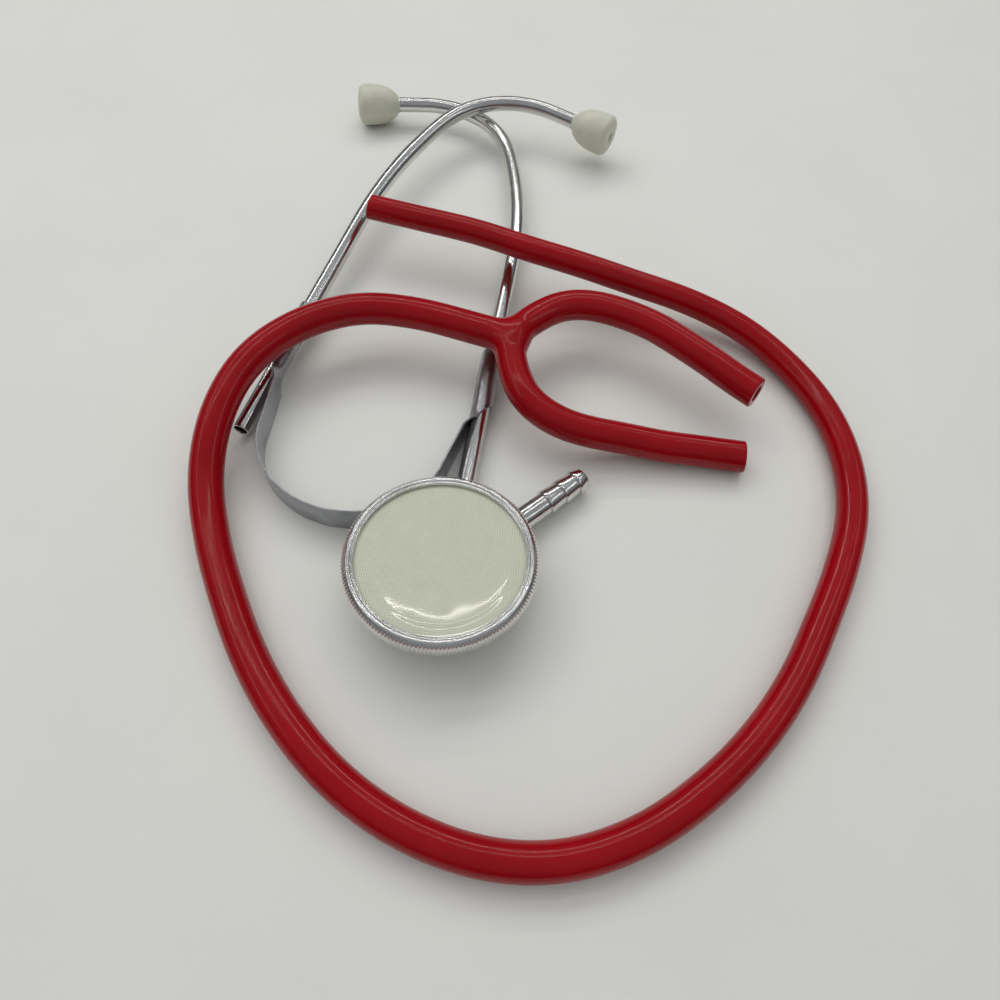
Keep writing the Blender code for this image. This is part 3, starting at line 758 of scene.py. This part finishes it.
def strip_section(centre, outward, bend, low, high):
    """The closed outline of the strip across its width, bent to the given curvature; low and high are its
    reaches under and over the middle line."""
    up = np.array((0.0, 0.0, 1.0))
    half, edge = STRIP_THICKNESS / 2, 0.12
    reaches = np.linspace(edge - low, high - edge, STRIP_COLUMNS)
    outline = [(reach, half) for reach in reaches]
    outline += [(high - edge * 0.3, half - edge * 0.3), (high, half - edge), (high, edge - half),
                (high - edge * 0.3, edge * 0.3 - half)]
    outline += [(reach, -half) for reach in reaches[::-1]]
    outline += [(edge * 0.3 - low, edge * 0.3 - half), (-low, edge - half), (-low, half - edge),
                (edge * 0.3 - low, half - edge * 0.3)]
    points = []
    for reach, lift in outline:
        turn = reach * bend
        if bend < 1e-4:
            points.append(centre + up * reach + outward * lift)
        else:
            round_centre = centre + outward / bend
            spread = 1 / bend - lift
            points.append(round_centre + up * math.sin(turn) * spread - outward * math.cos(turn) * spread)
    return np.array(points)


def make_strip(name, side, tube, nodes):
    """Half of the leaf spring: flat on edge round the bow, then troughed and rolled round the ear tube."""
    line = Sweep(smooth_route([tuple(p) for p in strip_route(side, tube)], 0.8, relax=10))
    flare_end = line.length - CLIP_LENGTH
    rings = []
    for distance in np.linspace(0.0, line.length, round(line.length / 0.6)):
        bend = eased((distance - flare_end + FLARE_LENGTH) / FLARE_LENGTH) / CLIP_RADIUS
        widening = (distance - flare_end + 1.5) / 6.5
        high = STRIP_WIDTH / 2 + (CLIP_HALF_WRAP - STRIP_WIDTH / 2) * eased(widening)
        low = STRIP_WIDTH / 2 + (CLIP_HALF_WRAP - STRIP_WIDTH / 2) * eased(widening - 0.1)
        tangent = line.at(distance, line.tangents)
        outward = side * np.cross(tangent, (0.0, 0.0, 1.0))
        outward /= np.linalg.norm(outward)
        section = strip_section(line.at(distance, line.path), outward, bend, low, high)
        section[:, 2] += max(0.0, TABLE_GAP - section[:, 2].min())
        rings.append(section)
    strip = new_piece(name, *loft(rings), STEEL, smooth_angle=32.0)
    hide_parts(*nodes)
    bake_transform(strip)


def make_headset():
    for name, side, path in (("left", -1, LEFT_TUBE_PATH), ("right", 1, RIGHT_TUBE_PATH)):
        make_ear_tube("ear_tube_" + name + "_bright", path, name + "_arm", "ear_tube_" + name)
        make_ear_tip("ear_tip_" + name + "_moulded", path, name + "_tip", "ear_tip_" + name)
        nodes = ["spring_leg_" + name] + (["spring_bow"] if side < 0 else [])
        make_strip("leaf_spring_" + name, side, Sweep(path), nodes)


make_headset()


# ---------------------------------------------------------------- chestpiece
CHESTPIECE_AT = (8.4, -84.1, 16.0)
CHESTPIECE_TILT = -3.4
STEM_AZIMUTH = 42.9
CHESTPIECE = (
    Matrix.Translation(Vector(CHESTPIECE_AT))
    @ Euler((math.radians(CHESTPIECE_TILT), 0.0, 0.0)).to_matrix().to_4x4()
    @ Matrix.Rotation(math.radians(STEM_AZIMUTH), 4, "Z")
)
RING_RADIUS = 23.5
RING_HEIGHT = 5.0
LIP_RADIUS = 20.5
THREAD_RADIUS = 21.8
TEETH = 160
TOOTH_DEPTH = 0.46
THREAD_PITCH = 0.62
DISC_TOP = -1.2
DISC_RADIUS = 21.5
DISC_WAVES = 0.004  # height of the face's slight unevenness
DISC_STEP_RADIUS = 18.6  # where the pressed step ends
STEM_DEPTH = 10.2
STEM_TIP = 47.6
STEM_ROOT = 6.0
STEM_RADIUS = 3.15
BARB_RADIUS = 3.5
BARB_STEPS = (13.6, 8.4, 3.4)
SOUND_RADIUS = 1.6


def knurled(radius, depth):
    """The radius of a band of straight teeth, as a function of the angle."""
    def at(angles):
        phase = (angles * TEETH / math.tau) % 1.0
        return radius - depth * (np.abs(phase - 0.5) * 2) ** 1.3
    return at


def make_ring():
    """The knurled retaining ring: an inner bead, a bright rounded top, straight teeth and a grooved inside."""
    outer = RING_RADIUS
    profile = [(LIP_RADIUS, -0.9), (LIP_RADIUS, -0.5)]
    profile += arc((LIP_RADIUS + 0.2, -0.42), 0.2, 180, 10, 8)
    profile += [(LIP_RADIUS + 0.46, -0.52), (LIP_RADIUS + 0.56, -0.52), (LIP_RADIUS + 0.66, -0.34)]
    profile += [(LIP_RADIUS + x, -(abs(x - 1.3) / 0.72) ** 2.4 * 0.36) for x in np.linspace(0.68, 2.02, 16)]
    profile += [(knurled(outer - 0.72, 0.06), -0.52), (knurled(outer - 0.36, 0.32), -0.80),
                (knurled(outer - 0.08, TOOTH_DEPTH), -1.12), (knurled(outer, TOOTH_DEPTH), -1.32),
                (knurled(outer, TOOTH_DEPTH), -RING_HEIGHT + 0.5),
                (knurled(outer - 0.10, TOOTH_DEPTH), -RING_HEIGHT + 0.25),
                (knurled(outer - 0.42, 0.15), -RING_HEIGHT + 0.05), (outer - 0.65, -RING_HEIGHT)]
    inner = THREAD_RADIUS + 0.35
    profile += [(inner + 0.2, -RING_HEIGHT), (inner, -RING_HEIGHT + 0.15)]
    z = -RING_HEIGHT + 0.3
    while z < -1.6:
        profile += [(inner, z), (inner - 0.12, z + 0.18), (inner - 0.12, z + 0.28), (inner, z + 0.46)]
        z += THREAD_PITCH
    profile += [(inner, -1.3), (inner, -0.95), (LIP_RADIUS + 0.15, -0.95)]
    rings = turned_rings(profile, TEETH * 8, CHESTPIECE)
    ring = new_piece("knurled_ring", *loft(rings, closed=True), RING_METAL, "ring", smooth_angle=38.0)
    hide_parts("retaining_ring")


def disc_height(radius):
    """The face's height: flat inside a shallow pressed step, then falling a little to its edge."""
    step = 0.10 * eased((DISC_STEP_RADIUS - radius) / 1.8)
    return DISC_TOP + step - 0.10 * max(0.0, (radius - DISC_STEP_RADIUS) / 2.9) ** 2


def make_disc():
    radii = np.concatenate([[0.05], np.linspace(0.6, DISC_RADIUS - 0.1, 90)])
    steps = 160
    rings = turned_rings([(r, disc_height(r)) for r in radii], steps)
    rings += turned_rings([(DISC_RADIUS, DISC_TOP - 0.2), (DISC_RADIUS - 0.1, DISC_TOP - 0.42)], steps)
    rings += turned_rings([(r, disc_height(r) - 0.35) for r in radii[::-6]], steps)
    vertices, faces = loft(rings)
    x, y = vertices[:, 0], vertices[:, 1]
    waves = np.sin(x * 0.55 + 0.8) * np.sin(y * 0.47 + 2.1) + 0.6 * np.sin(x * 0.21 - y * 0.83)
    vertices[:, 2] += DISC_WAVES * waves * (np.hypot(x, y) < 19.5)
    turn = tuple(math.degrees(a) for a in CHESTPIECE.to_euler())
    disc = new_piece("woven_disc", moved(vertices, CHESTPIECE), faces, make_weave(CHESTPIECE_AT, turn),
                     "diaphragm_disc")
    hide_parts("diaphragm")


def make_gasket():
    top, outer, inner = -1.92, 21.35, 19.85
    profile = [(inner, top - 0.2), *arc((inner + 0.25, top - 0.25), 0.25, 180, 90, 5),
               *arc((outer - 0.25, top - 0.25), 0.25, 90, 0, 5),
               *arc((outer - 0.2, top - 0.6), 0.2, 0, -90, 4),
               *arc((inner + 0.2, top - 0.6), 0.2, -90, -180, 4)]
    gasket = new_piece("rubber_gasket", *loft(turned_rings(profile, 128, CHESTPIECE), closed=True), RUBBER,
                       "chestpiece")
    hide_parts("gasket")


def make_body():
    """The cast dish: chamber with concentric turning marks, threaded rim, and a waisted back."""
    rim_top, floor = -3.0, -5.4
    profile = [(1.6, floor - 0.5), (1.75, floor - 0.1), (2.0, floor)]
    for k in range(24):
        share = (k + 1) / 25
        radius = 2.0 + (THREAD_RADIUS - 4.6) * share
        groove = 0.035 * (k % 2)
        profile.append((radius, floor + 2.0 * share**1.4 - groove))
    profile += [(THREAD_RADIUS - 2.4, rim_top - 0.15), (THREAD_RADIUS - 2.2, rim_top),
                (THREAD_RADIUS - 0.3, rim_top), (THREAD_RADIUS, rim_top - 0.25)]
    for k in range(3):
        z = rim_top - 0.4 - THREAD_PITCH * k
        profile += [(THREAD_RADIUS, z), (THREAD_RADIUS - 0.16, z - 0.2), (THREAD_RADIUS - 0.16, z - 0.3),
                    (THREAD_RADIUS, z - 0.5)]
    profile += [(THREAD_RADIUS, -5.3), (THREAD_RADIUS - 0.3, -5.55), (18.4, -5.95)]
    profile += arc((18.2, -8.2), 2.2, 88, 172, 10)
    profile += [(15.8, -8.8), (15.2, -9.8), (12.6, -13.5)]
    profile += arc((11.0, -13.8), 1.35, 8, -86, 9)
    profile += [(8.6, -15.15), (8.2, -15.0), (8.0, -14.7), (2.0, -14.7), (0.3, -14.7)]
    rings = turned_rings(profile, 144, CHESTPIECE)
    well = turned_rings([(0.3, -9.0), (1.6, -9.0)], 144, CHESTPIECE)
    body = new_piece("cast_body", *loft(well + rings), CASTING, "chestpiece", smooth_angle=35.0)
    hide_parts("chestpiece_body")


def make_stem():
    """The bored stem: a plain root, a fine groove and barbs whose sharp shoulders face the chestpiece."""
    profile = [(SOUND_RADIUS, STEM_TIP - 0.3), (SOUND_RADIUS + 0.2, STEM_TIP), (2.45, STEM_TIP)]
    profile += arc((2.45, STEM_TIP - 0.5), 0.5, 80, 10, 5)
    for step in reversed(BARB_STEPS):
        shoulder = STEM_TIP - step
        profile += [(BARB_RADIUS - 0.02, shoulder + 0.75), (BARB_RADIUS, shoulder + 0.35),
                    (BARB_RADIUS - 0.03, shoulder + 0.12), (BARB_RADIUS - 0.14, shoulder),
                    (STEM_RADIUS - 0.22, shoulder - 0.05), (STEM_RADIUS - 0.22, shoulder - 0.3),
                    (STEM_RADIUS - 0.06, shoulder - 0.45)]
    groove = STEM_TIP - BARB_STEPS[0] - 2.6
    profile += [(STEM_RADIUS - 0.06, groove), (STEM_RADIUS - 0.14, groove - 0.06),
                (STEM_RADIUS - 0.14, groove - 0.24), (STEM_RADIUS, groove - 0.34),
                (STEM_RADIUS, STEM_ROOT), (SOUND_RADIUS, STEM_ROOT)]
    lie_down = Matrix.Rotation(math.radians(90), 4, "Y")
    place = CHESTPIECE @ Matrix.Translation((0.0, 0.0, -STEM_DEPTH)) @ lie_down
    stem = new_piece("barbed_stem", *loft(turned_rings(profile, 64, place), closed=True), CHROME, "chestpiece",
                     smooth_angle=28.0)
    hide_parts("stem")


make_ring()
make_disc()
make_gasket()
make_body()
make_stem()


# ---------------------------------------------------------------- table and light
TABLE_HALF = 2.5  # metres
WALL_RADIUS = 1600.0
WALL_ROUND = 700.0
WALL_TOP = 3500.0
WALL_LIGHT = 0.03
CEILING_LIGHT = 0.30
LED_HEIGHT = 1.15  # metres over the table
LED_WIDTH = 0.004  # metres
LED_POWER = 0.22  # watts for each metre
LAMP_WHITE = (1.0, 0.99, 0.96)


def make_table():
    mesh = bpy.data.meshes.new("table_top")
    corners = [(TABLE_HALF * x, TABLE_HALF * y, 0) for x, y in ((-1, -1), (1, -1), (1, 1), (-1, 1))]
    mesh.from_pydata(corners, [], [(0, 1, 2, 3)])
    table = bpy.data.objects.new("table_top", mesh)
    bpy.context.scene.collection.objects.link(table)
    mesh.materials.append(make_table_top())
    make_backdrop(mesh.materials[0])


def make_backdrop(material):
    """A pale round studio wall, which the metal doesn't mirror."""
    profile = [(WALL_RADIUS, 0.5)] + arc((WALL_RADIUS, WALL_ROUND + 0.5), WALL_ROUND, -85, 0, 14)
    profile += [(WALL_RADIUS + WALL_ROUND, WALL_TOP)]
    vertices, faces = loft(turned_rings(profile, 96), capped=False)
    mesh = bpy.data.meshes.new("backdrop")
    mesh.from_pydata([tuple(v * MM) for v in vertices], [], faces)
    mesh.shade_smooth()
    mesh.materials.append(material)
    wall = bpy.data.objects.new("backdrop", mesh)
    bpy.context.scene.collection.objects.link(wall)
    wall.visible_glossy = False
    wall.visible_shadow = False


def make_area_light(name, place, target, size, energy, colour=(1.0, 1.0, 1.0), height=None):
    """A rectangle of light at a place, facing a target; all in metres and watts."""
    data = bpy.data.lights.new(name, "AREA")
    data.shape = "RECTANGLE"
    data.size = size
    data.size_y = height or size
    data.energy = energy
    data.color = colour
    light = bpy.data.objects.new(name, data)
    bpy.context.scene.collection.objects.link(light)
    turn = (Vector(target) - Vector(place)).to_track_quat("-Z", "Y").to_matrix().to_4x4()
    light.matrix_world = Matrix.Translation(Vector(place)) @ turn
    return light


def make_world():
    """A plain room: a soft pale ceiling over darker walls."""
    world = bpy.data.worlds.new("room")
    world.use_nodes = True
    nodes, links = world.node_tree.nodes, world.node_tree.links
    background = nodes["Background"]
    background.inputs["Color"].default_value = (0.92, 0.96, 1.0, 1.0)
    direction = nodes.new("ShaderNodeTexCoord").outputs["Generated"]
    parts = nodes.new("ShaderNodeSeparateXYZ")
    links.new(direction, parts.inputs["Vector"])
    rise = nodes.new("ShaderNodeMapRange")
    rise.interpolation_type = "SMOOTHSTEP"
    for socket, value in (("From Min", 0.02), ("From Max", 0.75),
                          ("To Min", WALL_LIGHT), ("To Max", CEILING_LIGHT)):
        rise.inputs[socket].default_value = value
    links.new(parts.outputs["Z"], rise.inputs["Value"])
    links.new(rise.outputs["Result"], background.inputs["Strength"])
    bpy.context.scene.world = world


# Where the corners of the ceiling's light line mirror in the disc, as x and y in mm.
LED_CORNERS = [
    (-3.5, -100.0), (-1.5, -101.0), (0.5, -101.0), (-2.5, -96.0), (3.0, -97.5), (10.0, -99.0), (12.5, -99.0),
    (15.0, -97.0), (20.5, -94.5), (22.0, -92.0), (25.0, -89.0), (23.5, -96.0), (25.5, -95.0), (27.0, -92.0),
]


def make_led_line():
    """A thin zigzag of light that the glossy disc mirrors."""
    face = CHESTPIECE @ Vector((0.0, 0.0, DISC_TOP))
    normal = (CHESTPIECE.to_3x3() @ Vector((0.0, 0.0, 1.0))).normalized()
    eye = Vector(CAMERA_AT)
    corners = []
    for x, y in LED_CORNERS:
        point = Vector((x, y, face.z))
        view = (point - eye).normalized()
        point = eye + view * ((face - eye).dot(normal) / view.dot(normal))
        ray = view - 2 * view.dot(normal) * normal
        corners.append(point * MM + ray * (LED_HEIGHT / ray.z))
    for k, (start, end) in enumerate(zip(corners, corners[1:])):
        run = end - start
        light = make_area_light("led_" + str(k), (start + end) / 2, (0.0, 0.0, 0.0), run.length,
                                LED_POWER * run.length, (1.0, 0.97, 0.88), height=LED_WIDTH)
        across = run.normalized()
        back = Vector((0.0, 0.0, 1.0))
        turn = Matrix((across, back.cross(across), back)).transposed().to_4x4()
        light.matrix_world = Matrix.Translation((start + end) / 2) @ turn


bpy.context.scene.view_settings.view_transform = "Standard"
make_table()
make_world()
make_led_line()
key = make_area_light("key", (-0.20, 0.85, 1.17), (0.0, 0.0, 0.0), 1.7, 5.0, LAMP_WHITE, height=0.30)
key.visible_glossy = False
side = make_area_light("side", (-1.15, 0.25, 1.15), (0.0, 0.0, 0.0), 0.9, 2.4, (0.97, 0.985, 1.0))
side.visible_glossy = False
overhead = make_area_light("overhead", (0.1, -0.15, 1.5), (0.1, -0.15, 0.0), 3.0, 10.4, (0.99, 0.995, 1.0))
overhead.visible_glossy = False
make_area_light("tube_low", (-0.15, 1.1, 1.0), (0.0, 0.0, 0.0), 1.8, 2.8, LAMP_WHITE, height=0.045)
make_area_light("tube_high", (-0.10, 0.42, 1.30), (0.0, 0.0, 0.0), 1.6, 1.3, LAMP_WHITE, height=0.02)
for side_name, x in (("left", -1.05), ("right", 1.15)):
    make_area_light("tube_" + side_name, (x, 0.15, 1.05), (0.0, 0.0, 0.0), 1.4, 0.8, height=0.04)
